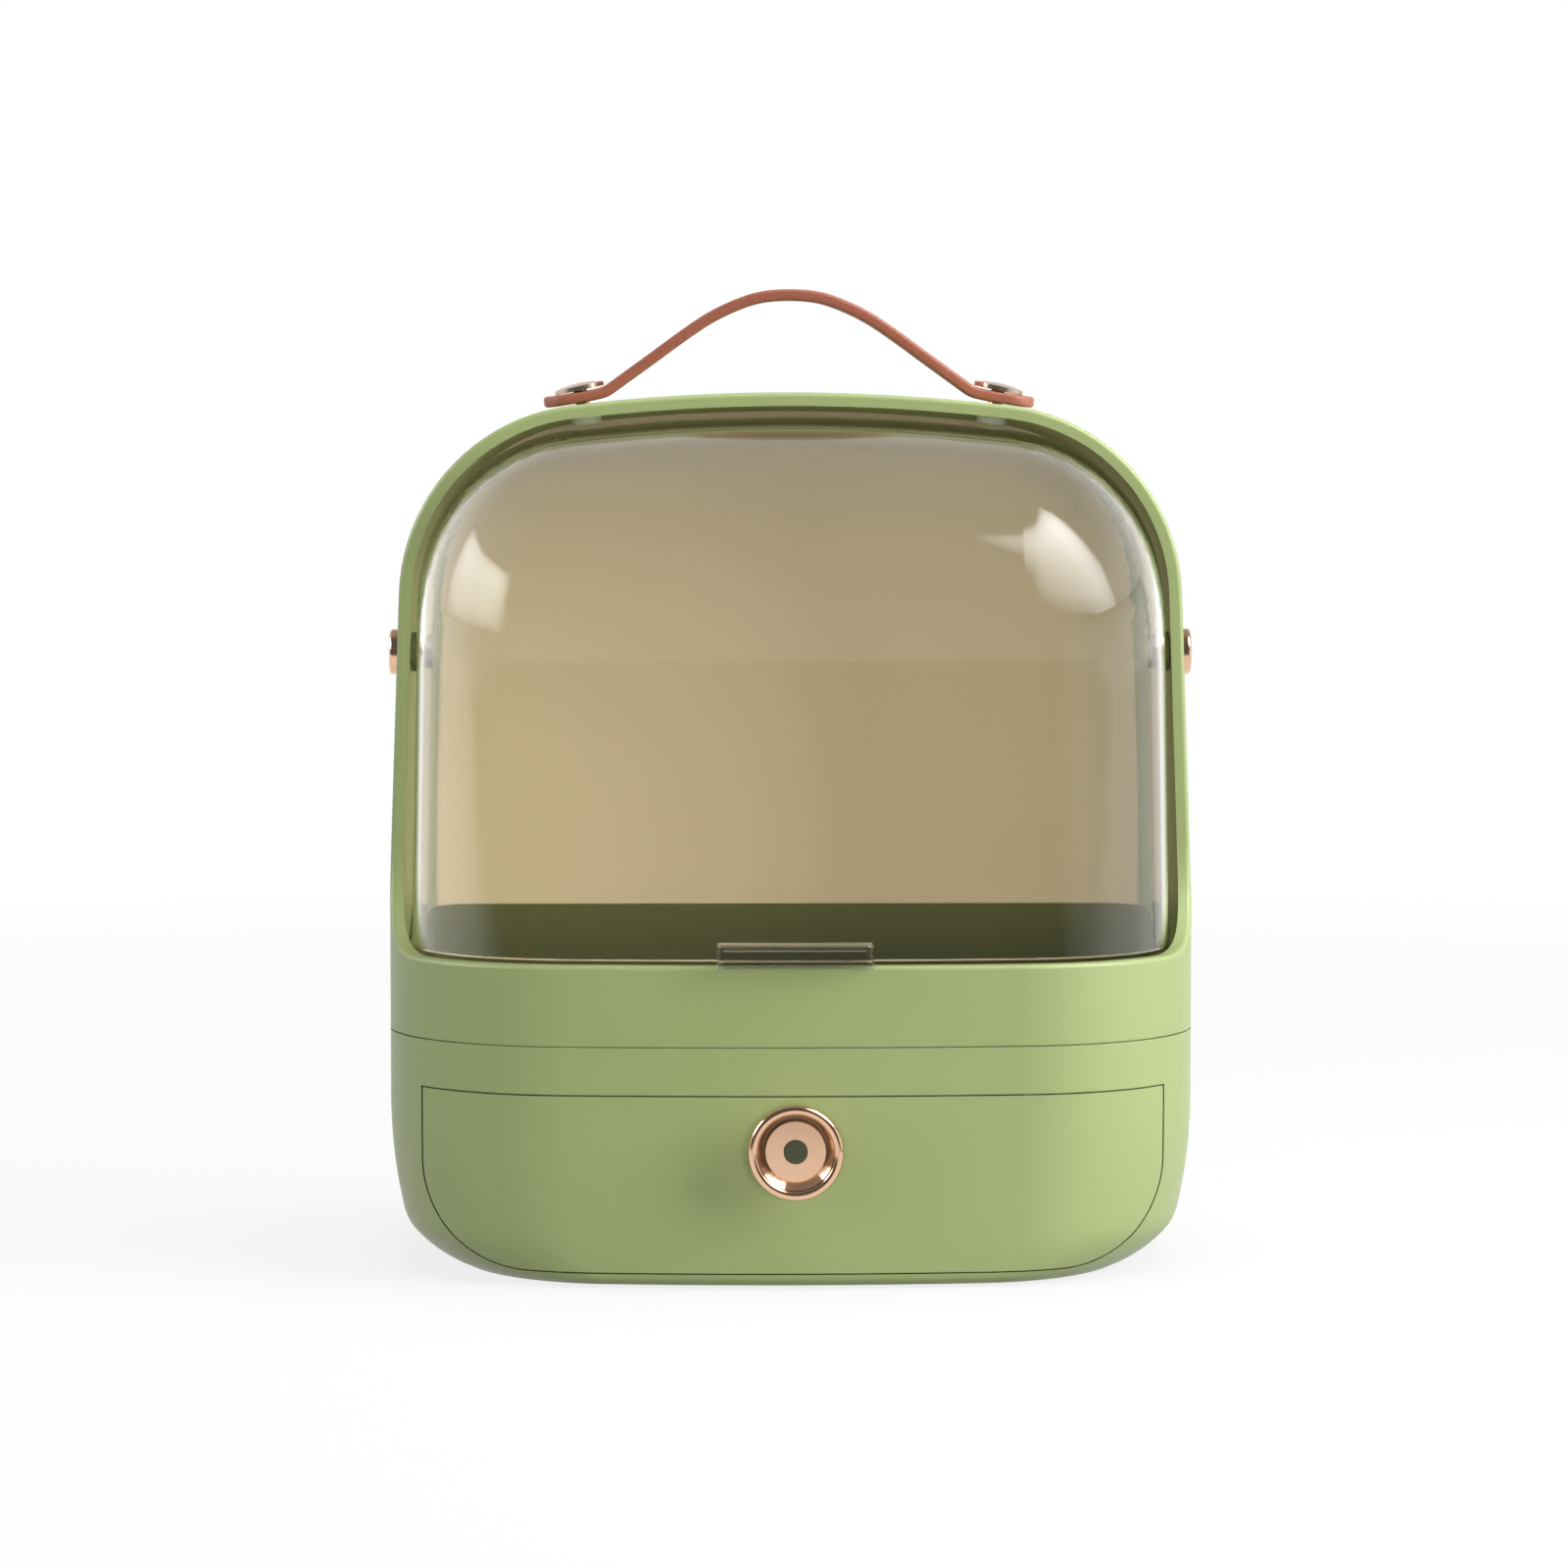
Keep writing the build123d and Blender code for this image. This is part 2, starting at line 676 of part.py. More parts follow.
def make_pivot_washer(sign):
    """Spacer on a hinge stud between hoop and lid."""
    start = lid_pivot_x + lid_side_clearance
    end = lid_pivot_x + lid_side_gap - washer_seat_clearance
    ring = disc_x(sign * start, sign * end, washer_radius)
    return ring - disc_x(sign * (start - 1), sign * (end + 1), stud_radius + stud_hole_clearance)


def strap_edges():
    """Upper and lower edge of the strap from left to right, seen from the front."""
    right = [(x, arch_height(x) + rise) for x, rise in strap_line]
    line = [(-x, z) for x, z in reversed(right[1:])] + right
    upper = []
    lower = []
    for index, (x, z) in enumerate(line):
        before = line[max(index - 1, 0)]
        after = line[min(index + 1, len(line) - 1)]
        length = math.dist(before, after)
        normal = (-(after[1] - before[1]) / length, (after[0] - before[0]) / length)
        thinning = (strap_thickness - strap_end_thickness) * abs(x) / strap_line[-1][0]
        shift = (strap_thickness - thinning) / 2
        upper.append((x + shift * normal[0], z + shift * normal[1]))
        lower.append((x - shift * normal[0], z - shift * normal[1]))
    return upper, lower


def make_handle_strap():
    """Leather strap, bowed up between its two riveted ends."""
    upper, lower = strap_edges()
    with BuildSketch() as profile:
        with BuildLine():
            Spline(*upper)
            Spline(*lower)
            Line(upper[0], lower[0])
            Line(upper[-1], lower[-1])
        make_face()
    middle_y = case_y + strap_y
    strap = front_prism(profile.sketch, middle_y - strap_width / 2, middle_y + strap_width / 2)
    ends = [e for e in strap.edges() if e.geom_type == GeomType.LINE and e.length < strap_thickness]
    strap = fillet(ends, strap_end_round)
    for sign in (-1, 1):
        strap -= rivet_frame(sign) * Cylinder(rivet_shank_radius + rivet_clearance, 8 * strap_thickness)
    return strap


def make_strap_rivet(sign):
    """Low domed rivet through a strap end and the arch."""
    seat = rivet_lift + strap_end_thickness / 2 + rivet_clearance
    tail = -hoop_wall - burr_thickness
    rise = rivet_cap_rise - rivet_cap_edge
    dome = (rivet_cap_radius**2 + rise**2) / (2 * rise)
    cap = disc_z(0, 0, seat, seat + rivet_cap_rise, rivet_cap_radius)
    cap = cap & Pos(0, 0, seat + rivet_cap_rise - dome) * Sphere(dome)
    return rivet_frame(sign) * (cap + disc_z(0, 0, tail, seat, rivet_shank_radius))


def make_strap_burr(sign):
    """Closing ring of a strap rivet, level with the arch's underside."""
    top = -hoop_wall - rivet_clearance
    shift = (hoop_wall + burr_thickness / 2) * math.tan(math.radians(rivet_tilt))
    ring = disc_z(0, 0, top - burr_thickness, top, burr_radius)
    ring -= disc_z(0, 0, top - 2 * burr_thickness, top + 1, rivet_shank_radius + burr_hole_clearance)
    return rivet_frame(sign, 0) * Pos(-sign * shift, 0, 0) * ring


def panel_screw_frames():
    """Places on the drawer's outer face, square to it, where the panel screws point."""
    lean = math.asin(panel_screw_x / front_bow_radius)
    face_y = front_y + front_bow_radius * (1 - math.cos(lean))
    frames = []
    for sign in (-1, 1):
        for z in panel_screw_levels:
            frames.append(Pos(sign * panel_screw_x, face_y, z) * Rot(0, 0, sign * math.degrees(lean)))
    return frames


def make_drawer_front():
    """Curved front panel of the drawer."""
    panel = front_prism(drawer_sketch(0, drawer_top_z), front_y - 1, front_y + panel_reach)
    panel = panel & base_form(0, 0, base_top_z)
    panel -= base_form(panel_thickness, 0, base_top_z + 1)
    panel -= disc_y(0, knob_z, front_y - 1, front_y + box_face_inset, knob_screw_radius + screw_clearance)
    hole_start = panel_thickness - panel_screw_bite - screw_tip_room
    for frame in panel_screw_frames():
        panel -= frame * disc_y(0, 0, hole_start, box_face_inset, panel_screw_radius + thread_clearance)
    return panel


def box_form(wall, top_z):
    """Solid outline of the drawer's box, inset by a wall thickness and cut level at top_z."""
    form = front_prism(drawer_sketch(box_inset + wall, top_z), front_y, box_rear_y - wall)
    form = form & base_form(box_front_inset + wall, 0, base_top_z)
    rear_inset = base_wall + bay_clearance + wall
    rear = block(-far, far, front_y + frame_depth, far, -far, far)
    return form - (rear - base_form(rear_inset, rear_inset, far))


def make_drawer_tray():
    """Open box of the drawer, round-cornered like the base, with stop nibs near its rear."""
    tray = box_form(0, box_top_z) - box_form(box_wall, drawer_top_z)
    for sign in (-1, 1):
        x0 = sign * (box_half_width - box_wall / 2)
        x1 = sign * (box_half_width + nib_reach)
        z0 = nib_z - nib_height / 2
        tray += block(x0, x1, nib_front_y, nib_front_y + nib_depth, z0, z0 + nib_height)
    tray -= disc_y(0, knob_z, front_y, front_y + 2 * box_face_inset, knob_screw_radius + screw_clearance)
    for frame in panel_screw_frames():
        tray -= frame * disc_y(0, 0, 0, 2 * box_face_inset, panel_screw_radius + screw_clearance)
    return tray


def make_front_screws():
    """Screws from inside the box into the front panel."""
    seat = box_face_inset + panel_screw_seat_clearance
    screws = Part()
    for frame in panel_screw_frames():
        head = disc_y(0, 0, seat, seat + panel_screw_head, panel_screw_head_radius)
        shank = disc_y(0, 0, panel_thickness - panel_screw_bite, seat, panel_screw_radius)
        screws += frame * (head + shank)
    return screws


def make_knob():
    """Ring knob with a round rim and a flat floor sunk in a steep cone, on a waisted stem."""
    base_y = front_y - knob_seat_clearance
    stem_y = front_y - knob_stem_length
    rim_y = front_y - knob_reach + knob_rim_radius
    rim_r = knob_radius - knob_rim_radius
    bend = knob_rim_radius * math.sqrt(0.5)
    dish_y = front_y - knob_reach + knob_dish_depth
    flare = (rim_y + bend, rim_r + bend)
    with BuildSketch() as half_profile:
        with BuildLine():
            Polyline((dish_y, 0), (base_y, 0), (base_y, knob_stem_radius), (stem_y, knob_stem_radius))
            ThreePointArc(
                (stem_y, knob_stem_radius),
                (stem_y - knob_rim_radius, knob_stem_radius + 2 * knob_rim_radius),
                flare,
            )
            ThreePointArc(flare, (rim_y - bend, rim_r + bend), (rim_y - knob_rim_radius, rim_r))
            ThreePointArc(
                (rim_y - knob_rim_radius, rim_r),
                (rim_y - bend, rim_r - bend),
                (rim_y, rim_r - knob_rim_radius),
            )
            Polyline((rim_y, rim_r - knob_rim_radius), (dish_y, knob_dish_radius), (dish_y, 0))
        make_face()
    face = Pos(0, 0, knob_z) * (Plane.YZ * half_profile.sketch)
    knob = revolve(face, axis=Axis((0, 0, knob_z), (0, 1, 0)))
    plug_seat = knob_plug_radius + knob_plug_clearance
    knob -= disc_y(0, knob_z, dish_y - 1, dish_y + knob_plug_depth, plug_seat)
    bore_end = front_y - knob_screw_bite - screw_tip_room
    knob -= disc_y(0, knob_z, bore_end, front_y, knob_screw_radius + thread_clearance)
    return knob


def make_knob_plug():
    """Dark plug in the middle of the knob's dish."""
    dish_y = front_y - knob_reach + knob_dish_depth
    plug = disc_y(0, knob_z, dish_y - knob_plug_rise, dish_y + knob_plug_depth, knob_plug_radius)
    return fillet(plug.edges().sort_by(Axis.Y)[0], knob_plug_rise * 0.8)


def make_knob_washer():
    """Washer under the knob's screw inside the box."""
    seat = front_y + box_face_inset + knob_seat_clearance
    ring = disc_y(0, knob_z, seat, seat + knob_washer_thickness, knob_washer_radius)
    return ring - disc_y(0, knob_z, seat - 1, seat + 2, knob_screw_radius + screw_clearance)


def make_knob_screw():
    """Screw from inside the box into the knob's stem."""
    seat = front_y + box_face_inset + knob_seat_clearance + knob_washer_thickness
    head = disc_y(0, knob_z, seat, seat + knob_screw_head, knob_screw_head_radius)
    return head + disc_y(0, knob_z, front_y - knob_screw_bite, seat, knob_screw_radius)


def make_all():
    """Every piece of the case by its node name."""
    pieces = {
        "upper_shell": make_upper_shell(),
        "back_liner": make_back_liner(),
        "compartment_tray": make_compartment_tray(),
        "base_shell": make_base_shell(),
        "shell_screws": make_shell_screws(),
        "handle_strap": make_handle_strap(),
        "lid_shell": make_lid_shell(),
        "lid_pull": make_lid_pull(),
        "drawer_front": make_drawer_front(),
        "drawer_tray": make_drawer_tray(),
        "front_screws": make_front_screws(),
        "knob": make_knob(),
        "knob_plug": make_knob_plug(),
        "knob_washer": make_knob_washer(),
        "knob_screw": make_knob_screw(),
    }
    corners = ("front_left", "front_right", "rear_left", "rear_right")
    for corner, (x, y) in zip(corners, foot_places()):
        pieces[f"foot_{corner}"] = make_foot(x, y)
    for side, sign in (("left", -1), ("right", 1)):
        pieces[f"pivot_cap_{side}"] = make_pivot_cap(sign)
        pieces[f"pivot_screw_{side}"] = make_pivot_screw(sign)
        pieces[f"pivot_washer_{side}"] = make_pivot_washer(sign)
        pieces[f"strap_rivet_{side}"] = make_strap_rivet(sign)
        pieces[f"strap_burr_{side}"] = make_strap_burr(sign)
    return pieces


os.makedirs("parts", exist_ok=True)
for name, piece in make_all().items():
    export_step(piece, f"parts/{name}.step")
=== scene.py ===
"""Looks of a cosmetic case with a clear lid, a drawer and a leather strap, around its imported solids."""

import math

import bmesh
import bpy
from bpy.props import FloatProperty, FloatVectorProperty, PointerProperty
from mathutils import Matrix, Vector


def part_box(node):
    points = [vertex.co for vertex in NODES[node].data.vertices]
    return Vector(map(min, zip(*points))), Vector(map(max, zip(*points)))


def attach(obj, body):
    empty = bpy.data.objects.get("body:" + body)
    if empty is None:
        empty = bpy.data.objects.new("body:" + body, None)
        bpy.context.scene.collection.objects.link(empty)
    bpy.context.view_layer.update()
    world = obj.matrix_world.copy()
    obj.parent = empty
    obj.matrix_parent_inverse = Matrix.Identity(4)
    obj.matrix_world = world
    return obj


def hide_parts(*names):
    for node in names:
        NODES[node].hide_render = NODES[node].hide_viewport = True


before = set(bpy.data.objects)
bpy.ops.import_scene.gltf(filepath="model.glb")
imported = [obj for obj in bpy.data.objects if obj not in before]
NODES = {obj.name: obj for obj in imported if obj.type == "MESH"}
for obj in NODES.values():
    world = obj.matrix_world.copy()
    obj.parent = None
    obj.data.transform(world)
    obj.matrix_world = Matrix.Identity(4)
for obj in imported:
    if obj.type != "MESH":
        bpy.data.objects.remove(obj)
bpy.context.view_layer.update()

bl_info = {
    "name": "Cosmetic Case",
    "version": (1, 0, 0),
    "blender": (4, 5, 0),
    "location": "3D View > Sidebar > Case",
    "description": "Dresses the packed cosmetic case and sets its studio",
    "category": "Object",
}

MM = 0.001
DISPLAY_GAMMA = 2.2
EDGE_SHADE = 2.2


def shade(red, green, blue):
    """Linear colour from the eight-bit values that a picture shows."""
    return tuple((value / 255) ** DISPLAY_GAMMA for value in (red, green, blue))


class Signal:
    """One output socket that can stand in Python expressions."""

    def __init__(self, recipe, socket):
        self.recipe = recipe
        self.socket = socket

    def combine(self, operation, first, second):
        return self.recipe.maths(operation, first, second)

    def __add__(self, other):
        return self.combine("ADD", self, other)

    def __radd__(self, other):
        return self.combine("ADD", other, self)

    def __sub__(self, other):
        return self.combine("SUBTRACT", self, other)

    def __rsub__(self, other):
        return self.combine("SUBTRACT", other, self)

    def __mul__(self, other):
        return self.combine("MULTIPLY", self, other)

    def __rmul__(self, other):
        return self.combine("MULTIPLY", other, self)

    def __truediv__(self, other):
        return self.combine("DIVIDE", self, other)

    def __rtruediv__(self, other):
        return self.combine("DIVIDE", other, self)

    def __pow__(self, other):
        return self.combine("POWER", self, other)

    def __rpow__(self, other):
        return self.combine("POWER", other, self)

    def __abs__(self):
        return self.combine("ABSOLUTE", self, 0.0)


class Recipe:
    """Node tree of one material or of the world."""

    def __init__(self, tree):
        self.tree = tree
        self.tree.nodes.clear()

    def node(self, kind, settings=None, inputs=None, output=0):
        """Adds a node, makes its settings first, feeds its sockets and gives one output."""
        made = self.tree.nodes.new(kind)
        for name, value in (settings or {}).items():
            if name == "stops":
                self.set_stops(made.color_ramp, value)
            else:
                setattr(made, name, value)
        for name, value in (inputs or {}).items():
            self.feed(made.inputs[name], value)
        return Signal(self, made.outputs[output]) if made.outputs else None

    def feed(self, socket, value):
        """Links a signal to a socket or sets the socket's own value."""
        if isinstance(value, Signal):
            self.tree.links.new(value.socket, socket)
        elif socket.type == "RGBA" and len(value) == 3:
            socket.default_value = (*value, 1.0)
        else:
            socket.default_value = value

    @staticmethod
    def set_stops(ramp, stops):
        """Fills a grey ramp from (place, level) pairs."""
        while len(ramp.elements) < len(stops):
            ramp.elements.new(0.5)
        for element, (place, level) in zip(ramp.elements, stops):
            element.position = place
            element.color = (level, level, level, 1.0)

    def maths(self, operation, first, second):
        return self.node("ShaderNodeMath", {"operation": operation}, {0: first, 1: second})

    def mix(self, factor, first, second):
        """Mixes two colours."""
        settings = {"data_type": "RGBA", "blend_type": "MIX", "clamp_factor": True}
        return self.node("ShaderNodeMix", settings, {0: factor, 6: first, 7: second}, output=2)

    def places(self):
        """Position on the piece in metres, in the case's own frame."""
        return self.node("ShaderNodeTexCoord", output="Object")

    def axis(self, index):
        """One coordinate of the position."""
        return self.node("ShaderNodeSeparateXYZ", None, {"Vector": self.places()}, output=index)

    def noise(self, scale, detail=3.0, roughness=0.55, stretch=(1.0, 1.0, 1.0), distortion=0.0):
        """Soft noise from 0 to 1, with its scale in waves per metre."""
        settings = {"operation": "MULTIPLY"}
        vector = self.node("ShaderNodeVectorMath", settings, {0: self.places(), 1: stretch})
        inputs = {"Vector": vector, "Scale": scale, "Detail": detail, "Roughness": roughness}
        inputs["Distortion"] = distortion
        return self.node("ShaderNodeTexNoise", None, inputs)

    def cells(self, scale):
        """Distance to the nearest point of a cell pattern, with its scale in cells per metre."""
        inputs = {"Vector": self.places(), "Scale": scale}
        return self.node("ShaderNodeTexVoronoi", {"feature": "F1"}, inputs)

    def ramp(self, signal, stops):
        return self.node("ShaderNodeValToRGB", {"stops": stops}, {"Fac": signal})

    def bump(self, height, strength, distance):
        inputs = {"Height": height, "Strength": strength, "Distance": distance}
        return self.node("ShaderNodeBump", None, inputs, output="Normal")

    def surface(self, inputs):
        return self.node("ShaderNodeBsdfPrincipled", None, inputs, output="BSDF")

    def finish(self, shader, kind="ShaderNodeOutputMaterial"):
        self.node(kind, None, {"Surface": shader})


def new_recipe(name):
    """A fresh material and the recipe that fills it."""
    material = bpy.data.materials.new(name)
    material.use_nodes = True
    return material, Recipe(material.node_tree)


def moulded_plastic(name, colour, roughness):
    """Satin moulded plastic: fine spark-eroded grain, faint flow mottling and handling sheen."""
    material, r = new_recipe(name)
    flow = r.noise(14.0, detail=4.0)
    cloud = r.noise(55.0, detail=5.0, roughness=0.6)
    tone = r.mix(flow, tuple(0.965 * c for c in colour), tuple(1.035 * c for c in colour))
    tone = r.mix(cloud * 0.10, tone, tuple(0.90 * c for c in colour))
    fine = r.noise(5200.0, detail=2.0, roughness=0.7)
    waves = r.noise(24.0, detail=1.0)
    rough = roughness + (cloud - 0.5) * 0.06 + (fine - 0.5) * 0.05
    normal = r.bump(fine * 0.35 + waves * 2.0, 0.10, 0.00012)
    shader = r.surface({
        "Base Color": tone,
        "Roughness": rough,
        "Normal": normal,
        "IOR": 1.49,
    })
    r.finish(shader)
    return material


def clear_plastic(name, tint, shadow_tint, roughness):
    """Polished clear moulding. Light reaches what is behind it straight through."""
    material, r = new_recipe(name)
    haze = r.noise(38.0, detail=3.0)
    dust = r.noise(900.0, detail=4.0, roughness=0.65)
    tone = r.mix(haze * 0.35, tint, tuple(0.97 * c for c in tint))
    specks = r.ramp(dust, [(0.0, 0.0), (0.66, 0.0), (0.80, 1.0), (1.0, 1.0)])
    rough = roughness + haze * 0.012 + specks * 0.03
    normal = r.bump(r.noise(16.0, detail=1.0), 0.05, 0.0006)
    glass = r.surface({
        "Base Color": tone,
        "Roughness": rough,
        "Normal": normal,
        "IOR": 1.49,
        "Transmission Weight": 1.0,
    })
    facing = r.node("ShaderNodeLayerWeight", None, {"Blend": 0.5}, output="Facing")
    passed = r.node("ShaderNodeBsdfTransparent", None, {"Color": shadow_tint})
    held = r.node("ShaderNodeBsdfTransparent", None, {"Color": (0.0, 0.0, 0.0)})
    through = r.node("ShaderNodeMixShader", None, {0: facing ** EDGE_SHADE, 1: passed, 2: held})
    path = "ShaderNodeLightPath"
    shadow = r.node(path, output="Is Shadow Ray")
    diffuse = r.node(path, output="Is Diffuse Ray")
    straight = r.maths("MAXIMUM", shadow, diffuse)
    r.finish(r.node("ShaderNodeMixShader", None, {0: straight, 1: glass, 2: through}))
    return material


def plated_metal(name, colour, roughness):
    """Bright plating over a polished casting, with faint wiping marks."""
    material, r = new_recipe(name)
    wipe = r.noise(320.0, detail=5.0, roughness=0.7, stretch=(1.0, 0.35, 1.6))
    film = r.noise(60.0, detail=3.0)
    tone = r.mix(film * 0.4, colour, tuple(0.90 * c for c in colour))
    marks = r.ramp(wipe, [(0.0, 0.0), (0.52, 0.0), (0.74, 1.0), (1.0, 1.0)])
    rough = roughness + marks * 0.05 + film * 0.02
    normal = r.bump(wipe, 0.03, 0.00006)
    r.finish(r.surface({
        "Base Color": tone,
        "Metallic": 1.0,
        "Roughness": rough,
        "Normal": normal,
    }))
    return material


def strap_leather(name, colour, middle_y, half_width):
    """Smooth pigmented leather: small pores and soft creases, darkened in colour as painted shade, and
    darker edge paint.
    """
    material, r = new_recipe(name)
    pores = r.cells(2100.0)
    creases = r.noise(260.0, detail=6.0, roughness=0.62, stretch=(2.6, 0.7, 2.6), distortion=0.4)
    patches = r.noise(42.0, detail=4.0)
    tone = r.mix(patches, tuple(0.86 * c for c in colour), tuple(1.12 * c for c in colour))
    side = abs(r.axis("Y") - middle_y) / half_width
    paint = r.ramp(side, [(0.0, 0.0), (0.86, 0.0), (0.92, 1.0), (1.0, 1.0)])
    bare = 1.0 - paint
    pit_depth_and_shade = bare * r.ramp(pores, [(0.0, 1.0), (0.22, 0.35), (0.45, 0.0), (1.0, 0.0)])
    fold_depth_and_shade = bare * r.ramp(creases, [(0.0, 1.0), (0.36, 0.7), (0.50, 0.0), (1.0, 0.0)])
    # Pores and creases darken the colour a little: painted shade in these hollows, on top of their bump.
    tone = r.mix(pit_depth_and_shade * 0.10, tone, tuple(0.70 * c for c in colour))
    tone = r.mix(fold_depth_and_shade * 0.14, tone, tuple(0.70 * c for c in colour))
    tone = r.mix(paint * 0.30, tone, tuple(0.66 * c for c in colour))
    grain = pit_depth_and_shade * -0.5 + fold_depth_and_shade * -0.6 + bare * r.noise(1500.0, detail=3.0) * 0.25
    rough = 0.44 + patches * 0.08 + fold_depth_and_shade * 0.12 - paint * 0.08
    shader = r.surface({
        "Base Color": tone,
        "Roughness": rough,
        "Normal": r.bump(grain, 0.22, 0.00012),
        "Specular IOR Level": 0.45,
    })
    r.finish(shader)
    return material


def turned_steel(name, colour):
    """Plain zinc-plated steel of small screws and washers."""
    material, r = new_recipe(name)
    swirl = r.noise(700.0, detail=4.0, stretch=(1.0, 3.0, 1.0))
    tone = r.mix(swirl * 0.5, colour, tuple(0.8 * c for c in colour))
    r.finish(r.surface({
        "Base Color": tone,
        "Metallic": 1.0,
        "Roughness": 0.28 + swirl * 0.14,
        "Normal": r.bump(swirl, 0.08, 0.0001),
    }))
    return material


def pad_rubber(name, colour):
    """Matt rubber with a dusty bloom."""
    material, r = new_recipe(name)
    bloom = r.noise(420.0, detail=5.0, roughness=0.7)
    r.finish(r.surface({
        "Base Color": r.mix(bloom * 0.5, colour, tuple(1.5 * c for c in colour)),
        "Roughness": 0.72 + bloom * 0.18,
        "Normal": r.bump(bloom, 0.2, 0.0001),
    }))
    return material


def dress(node, material):
    """Gives a carried-over solid its material."""
    mesh = NODES[node].data
    mesh.materials.clear()
    mesh.materials.append(material)


def mesh_object(name, build):
    """New object from a function that fills a bmesh."""
    mesh = bpy.data.meshes.new(name)
    form = bmesh.new()
    build(form)
    bmesh.ops.recalc_face_normals(form, faces=form.faces)
    form.to_mesh(mesh)
    form.free()
    made = bpy.data.objects.new(name, mesh)
    bpy.context.scene.collection.objects.link(made)
    return made


# Middle line of the strap's right half: distance from the case's middle and rise over the arch, in mm.
STRAP_HALF = [(0, 35.0), (10, 34.2), (19, 31.4), (29, 26.5), (39, 19.8), (49, 12.5), (59, 5.3)]
STRAP_HALF += [(63, 2.4), (66.6, 0.15), (72, -1.24), (78, -2.26), (84.1, -3.24), (88.5, -3.7)]
ARCH_TOP = 0.310
STRAP_STEPS = 9
STRAP_CORNER = 0.0011
STRAP_CROWN = 0.0002
CORNER_STEPS = 4
TIP_WIDTH_SHARE = 0.06
TIP_THICKNESS_SHARE = 0.55
TIP_LENGTH = 0.0012


def strap_centre(steps_per_span):
    """Middle line of the strap from left to right as points (x, z), smooth through the measured ones."""
    right = [Vector((x * MM, ARCH_TOP + rise * MM)) for x, rise in STRAP_HALF]
    line = [Vector((-p.x, p.y)) for p in reversed(right[1:])] + right
    padded = [2 * line[0] - line[1], *line, 2 * line[-1] - line[-2]]
    points = []
    for before, start, end, after in zip(padded, padded[1:], padded[2:], padded[3:]):
        for step in range(steps_per_span):
            t = step / steps_per_span
            a = 2 * start
            b = (end - before) * t
            c = (2 * before - 5 * start + 4 * end - after) * t**2
            d = (3 * start - before - 3 * end + after) * t**3
            points.append((a + b + c + d) / 2)
    points.append(line[-1])
    return points


def strap_section(half_width, half_thick):
    """Closed outline of the strap's cross-section as (across, up): flat, with rolled corners."""
    corner = min(STRAP_CORNER, half_width * 0.9, half_thick * 0.9)
    outline = []
    for quarter, (sx, sz) in enumerate(((1, 1), (-1, 1), (-1, -1), (1, -1))):
        for step in range(CORNER_STEPS + 1):
            angle = math.pi / 2 * (quarter + step / CORNER_STEPS)
            across = sx * (half_width - corner) + corner * math.cos(angle)
            up = sz * (half_thick - corner) + corner * math.sin(angle)
            outline.append((across, up))
        if sz > 0 and sx > 0:
            for share in (0.6, 0.2, -0.2, -0.6):
                outline.append((half_width * share, half_thick + STRAP_CROWN * (1 - share**2)))
        if sz < 0 and sx < 0:
            for share in (-0.6, -0.2, 0.2, 0.6):
                outline.append((half_width * share, -half_thick))
    return outline


def build_strap(form, sizes):
    """Sweeps the leather's cross-section along the strap, round in plan at both ends."""
    centre = strap_centre(STRAP_STEPS)
    lengths = [0.0]
    for a, b in zip(centre, centre[1:]):
        lengths.append(lengths[-1] + (b - a).length)
    whole = lengths[-1]
    middle_y = (sizes.box_low + sizes.box_high) / 2
    rings = []
    for index, point in enumerate(centre):
        before = centre[max(index - 1, 0)]
        after = centre[min(index + 1, len(centre) - 1)]
        along = (after - before).normalized()
        up = Vector((-along.y, along.x))
        room = min(lengths[index], whole - lengths[index])
        swing = max(sizes.end_round - room, 0.0)
        narrow = sizes.end_round - math.sqrt(max(sizes.end_round**2 - swing**2, 0.0))
        half_width = max(sizes.width / 2 - narrow, sizes.width * TIP_WIDTH_SHARE)
        share = abs(point.x) / centre[-1].x
        thick = sizes.thickness + (sizes.end_thickness - sizes.thickness) * share
        swell = math.sqrt(min(room / TIP_LENGTH, 1.0))
        thick *= TIP_THICKNESS_SHARE + (1 - TIP_THICKNESS_SHARE) * swell
        ring = []
        for across, rise in strap_section(half_width, thick / 2):
            spot = point + up * rise
            ring.append(form.verts.new((spot.x, middle_y + across, spot.y)))
        rings.append(ring)
    count = len(rings[0])
    for ring, after in zip(rings, rings[1:]):
        for i in range(count):
            form.faces.new((ring[i], ring[(i + 1) % count], after[(i + 1) % count], after[i]))
    form.faces.new(list(reversed(rings[0])))
    form.faces.new(rings[-1])


